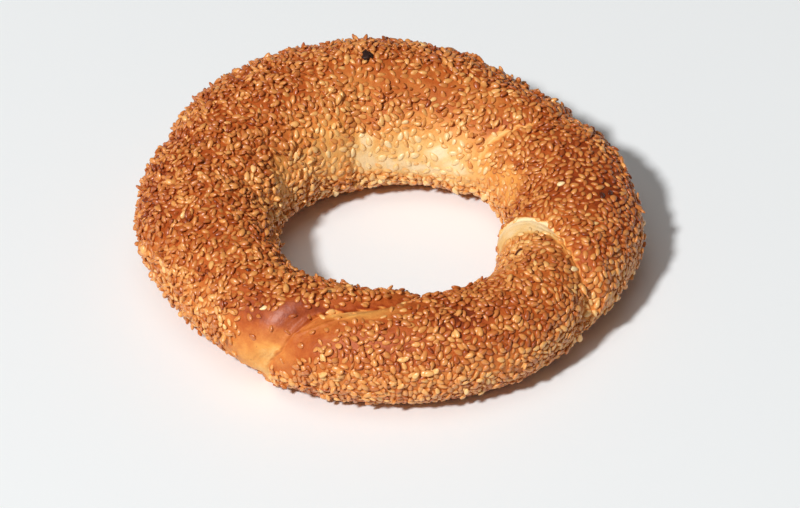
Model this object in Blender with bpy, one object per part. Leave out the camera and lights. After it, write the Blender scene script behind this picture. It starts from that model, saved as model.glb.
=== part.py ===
"""A simit: a bread ring twisted from two strands of dough, baked on a tray.

Metres, +Z up. The ring lies on the plane z = 0 and its bounding box is centred on the Z axis.

Two angles name every place on the crust. The ring angle goes counter-clockwise round the hole,
from +X, seen from above. The tube angle goes round the rope itself: 0 is its outer side,
90 its top, 180 the side that faces the hole, and 270 its underside.
"""

from collections import namedtuple
from math import atan2, cos, exp, hypot, pi, radians, sin, tau

import bmesh
import bpy
from mathutils import Vector, noise

# The ring, seen from above.
RING_RADIUS = 0.0645     # from the middle of the hole to the rope's centre line
RING_PULL = 0.0007       # how far three soft corners pull the ring out of round
PULL_ANGLE = 32.0        # ring angle of the first of them, degrees

# The rope. It was rolled thicker at one end, so the ring is fat at the back left.
ROPE_WIDTH = 0.0466      # the middling width of the rope
ROPE_SWELL = 0.0056      # how much wider it is at its fattest, and narrower opposite
SWELL_ANGLE = 114.0
ROPE_BELLY = 0.0021      # a second swelling, on both sides of the ring
BELLY_ANGLE = 118.0
HEIGHT_SHARE = 0.81      # the rope sagged as it proved, so it is lower than it is wide
HEIGHT_TILT = 0.035      # the left side stands a little prouder than the right
LEAN = 0.06              # how far the rope's top leans outwards, for each metre of height
TRAY_SINK = 0.0026       # how deep the tray pressed the underside flat

# Where the strands cross over the top of the ring, counter-clockwise from the front.
# ring_angle: place of the groove on the rope's top, in degrees.
# back, on: how far the groove starts before that at the outer edge, and runs on to the hole.
# outside, top, inside: depth of the groove there, in metres, on its way to the hole.
# over: +1 where the strand ahead, counter-clockwise, lies on top of the other; -1 the reverse.
# steep, gentle: width of the slopes under the strand on top, and up the strand beneath.
Crossing = namedtuple("Crossing", "ring_angle back on outside top inside over steep gentle")
CROSSINGS = [
    # the deepest, at the front left
    Crossing(-105.5, 13.0, 32.5, 0.0022, 0.0033, 0.0022, -1, 0.0045, 0.0100),
    # right
    Crossing(-22.0, 11.0, 15.0, 0.0028, 0.0022, -0.0010, 1, 0.0040, 0.0080),
    # back right
    Crossing(38.0, -2.0, 11.0, 0.0017, 0.0014, 0.0010, 1, 0.0032, 0.0070),
    # back, most of it on the hole's wall
    Crossing(90.0, 10.0, 20.0, -0.0006, 0.0004, 0.0015, 1, 0.0032, 0.0080),
    # left
    Crossing(171.0, 16.0, 12.0, 0.0020, 0.0008, 0.0016, 1, 0.0040, 0.0080),
]
BEND = 0.10              # how much faster a groove runs along over the top than at the sides
RUN_OUT = 0.60           # how much further a groove runs on, low on the rope's outer side
RUN_OUT_ANGLE = 14.0     # tube angle below which it does so, degrees
UNDER_DEPTH = 0.0014     # depth of the grooves that run on across the underside

# The groove's own section.
WAIST_SHARE = 0.35       # the rope is drawn in broadly too, as a share of the depth
WAIST_WIDTH = 0.0120
ROLL_SHARE = 0.35        # the strand on top rolls up beside the groove, as a share of its depth
ROLL_OFFSET = 1.8        # where the roll stands, as a share of the steep slope's width
ROLL_WIDTH = 1.2         # and how wide it is

# Bulges and dents left by the hands that rolled and closed the ring: the place in degrees of
# the two angles, how far each reaches along the rope and around it, and its height in metres.
Bulge = namedtuple("Bulge", "ring_angle tube_angle along around height")
BULGES = [
    Bulge(-9.0, 172.0, 19.0, 42.0, 0.0042),
    Bulge(-40.0, 155.0, 15.0, 40.0, -0.0030),
    Bulge(-58.0, 131.0, 12.0, 38.0, -0.0026),
    Bulge(-130.0, 139.0, 12.0, 38.0, -0.0024),
    Bulge(-117.0, 160.0, 12.0, 36.0, 0.0010),
    Bulge(-149.0, 163.0, 15.0, 42.0, -0.0020),
    Bulge(-146.0, -15.0, 15.0, 50.0, -0.0018),
    Bulge(-34.0, -12.0, 17.0, 50.0, -0.0016),
    Bulge(-3.0, 0.0, 9.0, 36.0, 0.0015),
    Bulge(-124.0, -48.0, 7.0, 30.0, 0.0016),
    Bulge(180.0, -10.0, 12.0, 36.0, 0.0010),
    Bulge(161.0, 20.0, 8.0, 36.0, -0.0010),
    Bulge(52.0, 40.0, 14.0, 45.0, -0.0022),
    Bulge(95.0, 66.0, 20.0, 46.0, 0.0014),
    Bulge(28.0, 207.0, 8.0, 36.0, 0.0008),
    Bulge(113.0, 231.0, 9.0, 36.0, 0.0016),
    Bulge(159.0, 206.0, 11.0, 40.0, -0.0011),
    Bulge(77.0, 231.0, 12.0, 40.0, -0.0008),
]

# Hand-made unevenness.
LUMP_HEIGHT = 0.0009
LUMP_SIZE = 0.0170

# Facets: from each crossing to the next, and round the rope.
STEPS_PER_SPAN = 26
ROPE_STEPS = 38
GATHER = 0.55            # how much closer the facets stand beside a groove


def smoothstep(low, high, value):
    """0 below low, 1 above high, and an even S between them."""
    share = min(max((value - low) / (high - low), 0.0), 1.0)
    return share * share * (3.0 - 2.0 * share)


def bell(distance, width):
    """1 at distance 0, falling away smoothly on both sides."""
    return exp(-(distance / width) ** 2)


def wave(ring_angle, peak, turns=1):
    """A cosine round the ring with its peak at the ring angle given in degrees."""
    return cos(turns * (ring_angle - radians(peak)))


def wrapped(angle):
    """The same direction, between -pi and pi."""
    return (angle + pi) % tau - pi


def centre_line_radius(ring_angle):
    return RING_RADIUS + RING_PULL * wave(ring_angle, PULL_ANGLE, 3)


def rope_width(ring_angle):
    swell = ROPE_SWELL * wave(ring_angle, SWELL_ANGLE)
    belly = ROPE_BELLY * wave(ring_angle, BELLY_ANGLE, 2)
    return ROPE_WIDTH + swell + belly


def rope_height(ring_angle):
    share = HEIGHT_SHARE - HEIGHT_TILT * wave(ring_angle, 0.0)
    return rope_width(ring_angle) * share


def on_top(tube_angle):
    """1 over the rope's top and sides, 0 underneath."""
    return smoothstep(-0.45, 0.05, sin(tube_angle))


def groove_depth(crossing, tube_angle):
    """The groove's depth on its way over the rope, from its three named depths."""
    outward = cos(tube_angle)
    side = crossing.outside if outward > 0.0 else crossing.inside
    return side * outward ** 2 + crossing.top * sin(tube_angle) ** 2


def sweep(crossing, tube_angle):
    """Degrees of ring angle that the groove has run at the given tube angle."""
    inward = -cos(tube_angle)
    reach = crossing.back + (crossing.on - crossing.back) * smoothstep(-0.7, 0.7, inward)
    run_out = RUN_OUT * max(sin(radians(RUN_OUT_ANGLE) - tube_angle), 0.0) * max(-inward, 0.0)
    return reach * (inward + BEND * sin(pi * inward) - run_out)


def top_groove(crossing, tube_angle):
    """Ring angle where this crossing's groove passes the given tube angle."""
    return radians(crossing.ring_angle + sweep(crossing, tube_angle))


def under_groove(crossing, following, tube_angle):
    """The same groove on the underside, from the hole back out to the next crossing."""
    start = radians(crossing.ring_angle + crossing.on)
    span = wrapped(radians(following.ring_angle - following.back) - start) % tau
    return start + span * (1.0 + cos(tube_angle)) / 2.0


def groove_relief(across, depth, crossing):
    """Height of the crust beside a groove, across metres to its counter-clockwise side."""
    over_side = across * crossing.over
    valley = bell(over_side, crossing.steep if over_side > 0.0 else crossing.gentle)
    waist = WAIST_SHARE * bell(across, WAIST_WIDTH)
    roll = bell(over_side - ROLL_OFFSET * crossing.steep, ROLL_WIDTH * crossing.steep)
    return depth * (ROLL_SHARE * roll - valley - waist)


def twist_relief(ring_angle, tube_angle, radius):
    """How far the twist lifts or sinks the crust, in metres."""
    relief = 0.0
    top = on_top(tube_angle)
    for crossing, following in zip(CROSSINGS, CROSSINGS[1:] + CROSSINGS[:1]):
        lean = cos(radians((crossing.back + crossing.on) / 2.0))
        across = wrapped(ring_angle - top_groove(crossing, tube_angle)) * radius * lean
        relief += top * groove_relief(across, groove_depth(crossing, tube_angle), crossing)
        below = wrapped(ring_angle - under_groove(crossing, following, tube_angle)) * radius * lean
        relief += (1.0 - top) * groove_relief(below, UNDER_DEPTH, crossing)
    return relief


def bulge_relief(ring_angle, tube_angle):
    """How far the bulges lift the crust, in metres."""
    relief = 0.0
    for bulge in BULGES:
        along = wrapped(ring_angle - radians(bulge.ring_angle))
        around = wrapped(tube_angle - radians(bulge.tube_angle))
        share = bell(along, radians(bulge.along)) * bell(around, radians(bulge.around))
        relief += bulge.height * share
    return relief


def crust_point(ring_angle, tube_angle):
    """The place of the crust at these two angles."""
    half_width = rope_width(ring_angle) / 2.0
    half_height = (rope_height(ring_angle) + TRAY_SINK) / 2.0
    centre = centre_line_radius(ring_angle)
    outward = Vector((cos(ring_angle), sin(ring_angle), 0.0))
    section = Vector((half_width * cos(tube_angle), half_height * sin(tube_angle)))
    normal = Vector((section.x / half_width ** 2, section.y / half_height ** 2)).normalized()
    place = outward * (centre + section.x)
    place.z = section.y
    lump = LUMP_HEIGHT * noise.noise(place / LUMP_SIZE)
    twist = twist_relief(ring_angle, tube_angle, centre + section.x)
    section += normal * (twist + bulge_relief(ring_angle, tube_angle) + lump)
    section.x += LEAN * section.y
    point = outward * (centre + section.x)
    point.z = max(section.y + half_height - TRAY_SINK, 0.0)
    return point


def along_the_twist(turn, tube_angle):
    """Ring angle of a facet line, so that the lines run with the grooves and gather beside them.

    turn goes from 0 to 1 round the ring, and passes a crossing at every whole share of it.
    """
    spans = turn % 1.0 * len(CROSSINGS)
    index = int(spans)
    share = spans - index
    share -= GATHER * sin(tau * share) / tau
    crossing = CROSSINGS[index % len(CROSSINGS)]
    following = CROSSINGS[(index + 1) % len(CROSSINGS)]
    step = (following.ring_angle - crossing.ring_angle) % 360.0
    ring_angle = crossing.ring_angle + step * share
    here, there = sweep(crossing, tube_angle), sweep(following, tube_angle)
    return radians(ring_angle + here + (there - here) * smoothstep(0.0, 1.0, share))


def shape_ring():
    """Spin a plain ring, then give every vertex its place on the crust."""
    ring = bmesh.new()
    rope_radius = ROPE_WIDTH / 2.0
    bmesh.ops.create_circle(ring, segments=ROPE_STEPS, radius=rope_radius)
    for vertex in ring.verts:
        vertex.co = (RING_RADIUS + vertex.co.x, 0.0, vertex.co.y)
    bmesh.ops.spin(ring, geom=ring.verts[:] + ring.edges[:], cent=(0.0, 0.0, 0.0),
                   axis=(0.0, 0.0, 1.0), angle=tau, steps=STEPS_PER_SPAN * len(CROSSINGS),
                   use_merge=True)
    for vertex in ring.verts:
        turn = atan2(vertex.co.y, vertex.co.x) / tau
        tube_angle = atan2(vertex.co.z, hypot(vertex.co.x, vertex.co.y) - RING_RADIUS)
        vertex.co = crust_point(along_the_twist(turn, tube_angle), tube_angle)
    if ring.calc_volume(signed=True) < 0.0:
        bmesh.ops.reverse_faces(ring, faces=ring.faces[:])
    return ring


def centre_on_axis(ring):
    """Slide the ring so that its bounding box is centred on the Z axis."""
    xs = [vertex.co.x for vertex in ring.verts]
    ys = [vertex.co.y for vertex in ring.verts]
    middle = Vector(((min(xs) + max(xs)) / 2.0, (min(ys) + max(ys)) / 2.0, 0.0))
    bmesh.ops.translate(ring, vec=-middle, verts=ring.verts[:])


def crust_material():
    material = bpy.data.materials.new("baked_crust")
    material.use_nodes = True
    shader = material.node_tree.nodes["Principled BSDF"]
    shader.inputs["Base Color"].default_value = (0.47, 0.19, 0.055, 1.0)
    shader.inputs["Roughness"].default_value = 0.42
    shader.inputs["Metallic"].default_value = 0.0
    return material


def make_simit():
    ring = shape_ring()
    centre_on_axis(ring)
    mesh = bpy.data.meshes.new("simit")
    ring.to_mesh(mesh)
    ring.free()
    mesh.shade_smooth()
    mesh.set_sharp_from_angle(angle=radians(50.0))
    mesh.materials.append(crust_material())
    simit = bpy.data.objects.new("simit", mesh)
    bpy.context.scene.collection.objects.link(simit)
    return simit


for old in list(bpy.data.objects):
    bpy.data.objects.remove(old)
make_simit()
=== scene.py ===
# %% [markdown]
# # A simit, the sesame bread ring
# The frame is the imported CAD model: one plain solid of the right shape and size. This lesson
# covers it with what an eye notices: a crust with folds and stretched dough, thousands of
# toasted sesame seeds, and one burnt speck. Everything is in metres, +Z up.

# %% Load the frame
from collections import namedtuple
from math import cos, radians, sin, tau

import bmesh
import bpy
import numpy as np
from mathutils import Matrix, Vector, kdtree, noise
from mathutils.bvhtree import BVHTree


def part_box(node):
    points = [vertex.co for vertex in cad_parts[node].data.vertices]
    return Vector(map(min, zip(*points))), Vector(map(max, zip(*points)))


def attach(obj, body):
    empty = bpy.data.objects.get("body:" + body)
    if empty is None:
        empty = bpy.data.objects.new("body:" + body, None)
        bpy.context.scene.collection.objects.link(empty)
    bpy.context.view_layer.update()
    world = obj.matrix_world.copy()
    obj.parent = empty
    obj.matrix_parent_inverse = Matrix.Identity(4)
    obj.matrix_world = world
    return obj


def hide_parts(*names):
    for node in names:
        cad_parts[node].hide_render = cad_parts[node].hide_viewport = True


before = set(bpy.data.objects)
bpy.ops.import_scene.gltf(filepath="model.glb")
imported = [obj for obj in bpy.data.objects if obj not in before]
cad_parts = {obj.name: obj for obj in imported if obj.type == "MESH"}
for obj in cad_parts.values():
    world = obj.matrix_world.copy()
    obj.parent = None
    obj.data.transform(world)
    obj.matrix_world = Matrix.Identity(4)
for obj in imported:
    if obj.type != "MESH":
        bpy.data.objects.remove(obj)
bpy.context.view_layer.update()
MM = 0.001
ring_low, ring_high = (np.array(corner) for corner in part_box("simit"))
print("CAD ring, mm:", ((ring_high - ring_low) / MM).round(1))

# %% [markdown]
# ## Floor, light and camera
# The ring lies on a pale, matt table. The main lamp stands at the front left, a little higher
# than the camera, so that every seed shows a lit face and throws a small soft shadow to the back
# right. A second, wide and weak lamp hangs nearly overhead and opens up the shadows between the
# seeds, which a stronger room light would only turn grey. The white room fills the rest. A long
# lens from far away keeps the ring's near and far sides at almost the same scale.

# %% Table
FLOOR_SIZE = 12.0
TABLE_COLOUR = (0.87, 0.895, 0.905, 1.0)
TABLE_ROUGHNESS = 0.55

table_top = bmesh.new()
bmesh.ops.create_grid(table_top, x_segments=1, y_segments=1, size=FLOOR_SIZE / 2)
table_mesh = bpy.data.meshes.new("table")
table_top.to_mesh(table_mesh)
table_top.free()
table = bpy.data.objects.new("table", table_mesh)
bpy.context.scene.collection.objects.link(table)
table_paint = bpy.data.materials.new("pale_table")
table_paint.use_nodes = True
table_shader = table_paint.node_tree.nodes["Principled BSDF"]
table_shader.inputs["Base Color"].default_value = TABLE_COLOUR
table_shader.inputs["Roughness"].default_value = TABLE_ROUGHNESS
table_mesh.materials.append(table_paint)
print("table, metres across:", FLOOR_SIZE)

# %% Light
KEY_AZIMUTH = 235.0      # degrees counter-clockwise from +X: the front left
KEY_HEIGHT = 46.0        # degrees above the table
KEY_DISTANCE = 6.0
KEY_SIZE = 0.70
KEY_POWER = 376.0
CEILING_HEIGHT = 78.0    # a wide, weak lamp nearly overhead
CEILING_DISTANCE = 4.0
CEILING_SIZE = 3.0
CEILING_POWER = 24.0
ROOM_BRIGHTNESS = 0.115
ROOM_COLOUR = (1.0, 0.96, 0.91, 1.0)


def towards(azimuth, height):
    """The direction of a place in the room, seen from the middle of the table."""
    flat = cos(radians(height))
    return Vector((flat * cos(radians(azimuth)), flat * sin(radians(azimuth)),
                   sin(radians(height))))


def softbox(name, azimuth, height, distance, size, power):
    lamp = bpy.data.lights.new(name, "AREA")
    lamp.shape = "DISK"
    lamp.size = size
    lamp.energy = power
    stand = bpy.data.objects.new(name, lamp)
    stand.location = towards(azimuth, height) * distance
    stand.rotation_euler = towards(azimuth, height).to_track_quat("Z", "Y").to_euler()
    bpy.context.scene.collection.objects.link(stand)
    print(f"{name} lamp: {size} m across, {distance} m away")


softbox("window", KEY_AZIMUTH, KEY_HEIGHT, KEY_DISTANCE, KEY_SIZE, KEY_POWER)
softbox("ceiling", KEY_AZIMUTH, CEILING_HEIGHT, CEILING_DISTANCE, CEILING_SIZE, CEILING_POWER)
room = bpy.data.worlds.new("white_room")
room.use_nodes = True
room.node_tree.nodes["Background"].inputs["Color"].default_value = ROOM_COLOUR
room.node_tree.nodes["Background"].inputs["Strength"].default_value = ROOM_BRIGHTNESS
bpy.context.scene.world = room
bpy.context.scene.view_settings.view_transform = "Standard"

# %% Camera
CAMERA_HEIGHT = 37.6     # degrees above the table
CAMERA_DISTANCE = 4.6
VIEW_WIDTH = 0.2822      # how much of the table the picture spans, at the ring
RIGHT_OF_RING = 0.00343  # the ring sits a little left of and below the picture's middle
ABOVE_RING = 0.00412

camera_data = bpy.data.cameras.new("camera")
camera_data.sensor_width = 36.0
camera_data.lens = camera_data.sensor_width * CAMERA_DISTANCE / VIEW_WIDTH
camera_data.clip_end = 100.0
camera = bpy.data.objects.new("camera", camera_data)
back = towards(-90.0, CAMERA_HEIGHT)
up_in_view = Vector((0.0, back.z, -back.y))
aim = Vector((RIGHT_OF_RING, 0.0, 0.0)) + up_in_view * ABOVE_RING
camera.location = aim + back * CAMERA_DISTANCE
camera.rotation_euler = back.to_track_quat("Z", "Y").to_euler()
bpy.context.scene.collection.objects.link(camera)
bpy.context.scene.camera = camera
print("camera lens, mm:", round(camera_data.lens, 1))

# %% [markdown]
# ## The shape of the crust
# A simit is two strands of dough twisted together and joined into a ring. It could be built as
# two tubes wound round each other and fused, but a baked rope is nearly one smooth tube whose
# strands show only as grooves. So a plain ring is made, and a few functions of two angles move
# every vertex: the ring angle round the hole, and the tube angle round the rope, with 0 at its
# outer side, 90 on top, 180 towards the hole and 270 underneath. The numbers are the CAD's: the
# ring's own size and lean, five crossings of the strands, and the bulges and hollows between. A
# crossing has its ring angle on top, how far it runs back and on from there, its depth outside,
# on top and inside, the side whose strand lies over, and how wide its two slopes are.

# %% Numbers of the ring
RING_RADIUS = 64.5 * MM
RING_PULL = 0.7 * MM
PULL_ANGLE = 32.0
ROPE_WIDTH = 46.6 * MM
ROPE_SWELL = 5.6 * MM
SWELL_ANGLE = 114.0
ROPE_BELLY = 2.1 * MM
BELLY_ANGLE = 118.0
HEIGHT_SHARE = 0.81
HEIGHT_TILT = 0.035
LEAN = 0.06
TRAY_SINK = 2.6 * MM

Crossing = namedtuple("Crossing", "ring_angle back on outside top inside over steep gentle")
CROSSINGS = [
    Crossing(-105.5, 13, 32.5, 2.2 * MM, 3.3 * MM, 2.2 * MM, -1, 4.5 * MM, 10 * MM),
    Crossing(-22, 11, 15, 2.8 * MM, 2.2 * MM, -1 * MM, 1, 4 * MM, 8 * MM),
    Crossing(38, -2, 11, 1.7 * MM, 1.4 * MM, 1 * MM, 1, 3.2 * MM, 7 * MM),
    Crossing(90, 10, 20, -0.6 * MM, 0.4 * MM, 1.5 * MM, 1, 3.2 * MM, 8 * MM),
    Crossing(171, 16, 12, 2 * MM, 0.8 * MM, 1.6 * MM, 1, 4 * MM, 8 * MM),
]
BEND = 0.10
RUN_OUT = 0.60
RUN_OUT_ANGLE = 14.0
UNDER_DEPTH = 1.4 * MM
WAIST_SHARE = 0.35
WAIST_WIDTH = 12.0 * MM
ROLL_SHARE = 0.35
ROLL_OFFSET = 1.8
ROLL_WIDTH = 1.2
Bulge = namedtuple("Bulge", "ring_angle tube_angle along around height")
BULGES = [
    Bulge(-9, 172, 19, 42, 4.2 * MM),
    Bulge(-40, 155, 15, 40, -3 * MM),
    Bulge(-58, 131, 12, 38, -2.6 * MM),
    Bulge(-130, 139, 12, 38, -2.4 * MM),
    Bulge(-117, 160, 12, 36, 1 * MM),
    Bulge(-149, 163, 15, 42, -2 * MM),
    Bulge(-146, -15, 15, 50, -1.8 * MM),
    Bulge(-34, -12, 17, 50, -1.6 * MM),
    Bulge(-3, 0, 9, 36, 1.5 * MM),
    Bulge(-124, -48, 7, 30, 1.6 * MM),
    Bulge(180, -10, 12, 36, 1 * MM),
    Bulge(161, 20, 8, 36, -1 * MM),
    Bulge(52, 40, 14, 45, -2.2 * MM),
    Bulge(95, 66, 20, 46, 1.4 * MM),
    Bulge(28, 207, 8, 36, 0.8 * MM),
    Bulge(113, 231, 9, 36, 1.6 * MM),
    Bulge(159, 206, 11, 40, -1.1 * MM),
    Bulge(77, 231, 12, 40, -0.8 * MM),
]
LUMP_HEIGHT = 0.9 * MM
LUMP_SIZE = 17.0 * MM
print("crossings:", len(CROSSINGS), "bulges and hollows:", len(BULGES))

# %% [markdown]
# ## Soft steps and bells
# Dough has no hard edges, so nothing here may switch on or off at a line. Two curves do nearly
# all the blending: a step with soft ends, and a bell. Both take whole arrays, because a loop over
# a hundred thousand places would be slow.

# %% Curves of one number
def smoothstep(low, high, value):
    share = np.clip((value - low) / (high - low), 0.0, 1.0)
    return share * share * (3.0 - 2.0 * share)


def bell(distance, width):
    return np.exp(-(distance / width) ** 2)


def wave(ring_angle, peak, turns=1):
    return np.cos(turns * (ring_angle - radians(peak)))


def wrapped(angle):
    return (angle + tau / 2) % tau - tau / 2


def spun(ring_angle, radius, height):
    """Places at a ring angle, so far from the ring's axis and so high."""
    return np.stack([np.cos(ring_angle) * radius, np.sin(ring_angle) * radius, height], axis=-1)


print("a soft step, half way:", smoothstep(0.0, 1.0, 0.5))

# %% [markdown]
# ## Grooves of the twist
# Each groove sweeps slantwise over the top, from the ring's outer side to its hole, and another
# joins it to the next one underneath. One side of a groove is the steep edge of the strand on
# top, the other the gentle slope of the strand below, and the rope has a slight waist there.

# %% Grooves
def rope_width(ring_angle):
    swell = ROPE_SWELL * wave(ring_angle, SWELL_ANGLE)
    return ROPE_WIDTH + swell + ROPE_BELLY * wave(ring_angle, BELLY_ANGLE, 2)


def on_top(tube_angle):
    return smoothstep(-0.45, 0.05, np.sin(tube_angle))


def groove_depth(crossing, tube_angle):
    outward = np.cos(tube_angle)
    side = np.where(outward > 0.0, crossing.outside, crossing.inside)
    return side * outward ** 2 + crossing.top * np.sin(tube_angle) ** 2


def sweep(crossing, tube_angle):
    inward = -np.cos(tube_angle)
    reach = crossing.back + (crossing.on - crossing.back) * smoothstep(-0.7, 0.7, inward)
    low = np.maximum(np.sin(radians(RUN_OUT_ANGLE) - tube_angle), 0.0)
    run_out = RUN_OUT * low * np.maximum(-inward, 0.0)
    return reach * (inward + BEND * np.sin(tau / 2.0 * inward) - run_out)


def across_line(line, crossing, ring_angle, radius):
    """Metres from a groove's line to its counter-clockwise side, along the crust."""
    lean = cos(radians((crossing.back + crossing.on) / 2.0))
    return wrapped(ring_angle - line) * radius * lean


def across_groove(crossing, ring_angle, tube_angle, radius):
    line = np.radians(crossing.ring_angle + sweep(crossing, tube_angle))
    return across_line(line, crossing, ring_angle, radius)


def groove_relief(across, depth, crossing):
    over_side = across * crossing.over
    valley = bell(over_side, np.where(over_side > 0.0, crossing.steep, crossing.gentle))
    waist = WAIST_SHARE * bell(across, WAIST_WIDTH)
    roll = bell(over_side - ROLL_OFFSET * crossing.steep, ROLL_WIDTH * crossing.steep)
    return depth * (ROLL_SHARE * roll - valley - waist)


def twist_relief(ring_angle, tube_angle, radius):
    relief = np.zeros_like(ring_angle)
    top = on_top(tube_angle)
    for crossing, following in zip(CROSSINGS, CROSSINGS[1:] + CROSSINGS[:1]):
        across = across_groove(crossing, ring_angle, tube_angle, radius)
        depth = groove_depth(crossing, tube_angle)
        relief += top * groove_relief(across, depth, crossing)
        start = radians(crossing.ring_angle + crossing.on)
        span = (radians(following.ring_angle - following.back) - start) % tau
        line = start + span * (1.0 + np.cos(tube_angle)) / 2.0
        below = across_line(line, crossing, ring_angle, radius)
        relief += (1.0 - top) * groove_relief(below, UNDER_DEPTH, crossing)
    return relief


print("rope width at the front, mm:", round(float(rope_width(radians(-90.0))) / MM, 1))

# %% [markdown]
# ## Every place on the crust
# One function turns the two angles into a place in the room. It draws the rope's section, lifts
# or lowers it by the grooves, the bulges and broad lumps, leans it inwards and cuts it off flat
# where the ring stood on the tray. The mesh, the seeds and the speck all ask it where they are.

# %% From two angles to a place
def patch(place, ring_angle, tube_angle):
    """1 in the middle of a named place on the crust, fading out over its reach."""
    along = wrapped(ring_angle - radians(place.ring_angle))
    around = wrapped(tube_angle - radians(place.tube_angle))
    return bell(along, radians(place.along)) * bell(around, radians(place.around))


def noise_at(points, size, seed=0.0):
    """Smooth noise between -1 and 1 at many points, with lumps of about the given size."""
    shifted = points / size + seed
    return np.array([noise.noise(point) for point in shifted])


def crust_place(ring_angle, tube_angle, extra=0.0):
    """Places on the crust for arrays of the two angles, lifted by extra along its normal."""
    half_width = rope_width(ring_angle) / 2.0
    share = HEIGHT_SHARE - HEIGHT_TILT * wave(ring_angle, 0.0)
    half_height = (half_width * 2.0 * share + TRAY_SINK) / 2.0
    centre = RING_RADIUS + RING_PULL * wave(ring_angle, PULL_ANGLE, 3)
    out = half_width * np.cos(tube_angle)
    up = half_height * np.sin(tube_angle)
    normal_out = out / half_width ** 2
    normal_up = up / half_height ** 2
    length = np.hypot(normal_out, normal_up)
    radius = centre + out
    place = spun(ring_angle, radius, up)
    lift = twist_relief(ring_angle, tube_angle, radius)
    lift += sum(bulge.height * patch(bulge, ring_angle, tube_angle) for bulge in BULGES)
    lift += LUMP_HEIGHT * noise_at(place, LUMP_SIZE) + extra
    out = out + normal_out / length * lift
    up = up + normal_up / length * lift
    out = out + LEAN * up
    return spun(ring_angle, centre + out, np.maximum(up + half_height - TRAY_SINK, 0.0))


front_top = crust_place(np.radians([-90.0]), np.radians([90.0]))[0]
print("height of the ring at the front, mm:", round(front_top[2] / MM, 1))

# %% [markdown]
# ## Folds in the dough
# Where one strand dives under the other, its edge is a thin lip with a sharp crease beneath it,
# and the dough beside it is drawn out in fine wrinkles. Beside the deepest fold a thin welt also
# parts from the crease. Sculpting could do this by hand. Here the same grooves that shape the
# ring also say how far a place lies from a fold, so lip, crease and wrinkles follow each groove
# exactly, however it bends.

# %% Lips, creases and wrinkles
Edge = namedtuple("Edge", "crossing low high lip crease wrinkles")
EDGES = [
    Edge(0, 70, 165, 0.5 * MM, 0.8 * MM, 0.10 * MM),
    Edge(0, -60, 60, 0.3 * MM, 0.35 * MM, 0.16 * MM),
    Edge(1, -60, 90, 0.2 * MM, 0.35 * MM, 0.20 * MM),
    Edge(1, 90, 200, 0.4 * MM, 0.3 * MM, 0.16 * MM),
    Edge(2, 95, 165, 0.3 * MM, 0.3 * MM, 0.12 * MM),
    Edge(3, 130, 215, 0.03 * MM, 0.06 * MM, 0.10 * MM),
    Edge(4, 100, 215, 0.3 * MM, 0.3 * MM, 0.08 * MM),
    Edge(4, -40, 70, 0.5 * MM, 0.4 * MM, 0.08 * MM),
]
LIP_REACH = 4.0 * MM
LIP_EDGE = 0.55 * MM
CREASE_OFFSET = 0.35 * MM
CREASE_WIDTH = 0.7 * MM
WRINKLE_REACH = 6.0 * MM
FOLD_REACH = 12.0 * MM
SOFT_END = 14.0          # degrees of tube angle over which folds and stretches fade out
WELT_HEIGHT = 0.45 * MM  # a thin ridge on the lower strand, parting from the deepest fold
WELT_WIDTH = 0.8 * MM
WELT_LOW, WELT_HIGH = 45.0, 74.0
WELT_NEAR, WELT_FAR = 1.6 * MM, 8.5 * MM


def tube_degrees(tube_angle):
    """Tube angle in degrees, from -90 under the outer side to 270 under the hole's side."""
    return (np.degrees(tube_angle) + 90.0) % 360.0 - 90.0


def window(value, low, high):
    """1 between low and high, fading out beyond both."""
    return smoothstep(low - SOFT_END, low, value) * smoothstep(high + SOFT_END, high, value)


def over_side(index, ring_angle, tube_angle):
    """Metres from a groove towards the strand on top of it, negative on the lower strand."""
    crossing = CROSSINGS[index]
    radius = RING_RADIUS + rope_width(ring_angle) / 2.0 * np.cos(tube_angle)
    return across_groove(crossing, ring_angle, tube_angle, radius) * crossing.over


def streaks(across, tube, seed):
    """Noise drawn out along a groove, between -1 and 1."""
    points = np.stack([across / (0.9 * MM), tube / 22.0, np.zeros_like(tube)], axis=-1)
    return noise_at(points, 1.0, seed)


def fold_relief(ring_angle, tube_angle):
    tube = tube_degrees(tube_angle)
    relief = np.zeros_like(tube)
    for number, edge in enumerate(EDGES):
        over = over_side(edge.crossing, ring_angle, tube_angle)
        near = window(tube, edge.low, edge.high) * (np.abs(over) < FOLD_REACH)
        lip = np.exp(-np.maximum(over, 0.0) / LIP_REACH)
        lip *= smoothstep(-CREASE_OFFSET, LIP_EDGE, over)
        crease = bell(over + CREASE_OFFSET, CREASE_WIDTH)
        wrinkle = streaks(over, tube, 3.1 * number) * bell(over, WRINKLE_REACH)
        relief += near * (edge.lip * lip - edge.crease * crease + edge.wrinkles * wrinkle)
    share = (tube - WELT_LOW) / (WELT_HIGH - WELT_LOW)
    below = WELT_NEAR + (WELT_FAR - WELT_NEAR) * share
    welt = bell(over_side(0, ring_angle, tube_angle) + below, WELT_WIDTH)
    return relief + WELT_HEIGHT * welt * window(tube, WELT_LOW, WELT_HIGH)


print("edges with a lip and a crease:", len(EDGES))
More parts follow.
